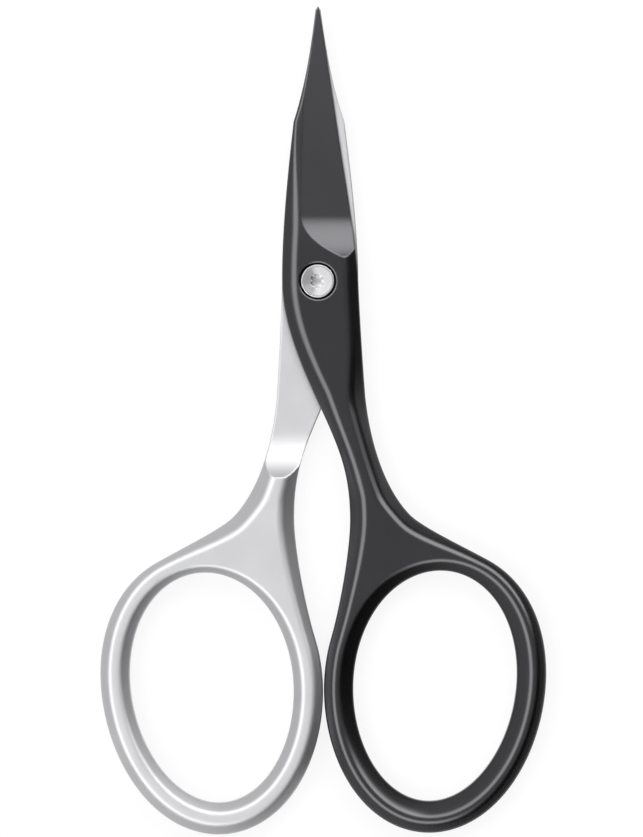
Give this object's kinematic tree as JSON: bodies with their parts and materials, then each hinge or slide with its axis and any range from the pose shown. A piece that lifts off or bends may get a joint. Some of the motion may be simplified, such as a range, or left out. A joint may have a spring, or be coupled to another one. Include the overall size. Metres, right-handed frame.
{
  "type": "cuticle scissors",
  "caption": "Small scissors with slender tower point blades and oval finger rings; one half coated dark, one bright, turning on a flush pivot screw.",
  "frame": {"origin": "on the pivot axis, in the plane the closed scissors rest on", "axes": "+Y towards the tips, +X towards the ring of the dark half, +Z along the pivot axis, out of the face with the screw head"},
  "size_m": [0.0484, 0.0899, 0.0038],
  "materials": {
    "dark_coated_steel": "satin anthracite coating on stainless steel",
    "satin_steel": "fine satin stainless steel",
    "polished_steel": "polished stainless steel"
  },
  "bodies": {
    "bright_side": {"bright_half": "satin_steel", "pivot_screw": "polished_steel"},
    "dark_side": {"dark_half": "dark_coated_steel"}
  },
  "joints": [
    {"name": "scissor_hinge", "type": "hinge", "parent": "bright_side", "child": "dark_side", "pos_m": [0, 0, 0.00285], "axis": [0, 0, 1], "range_deg": [0, 150]}
  ]
}
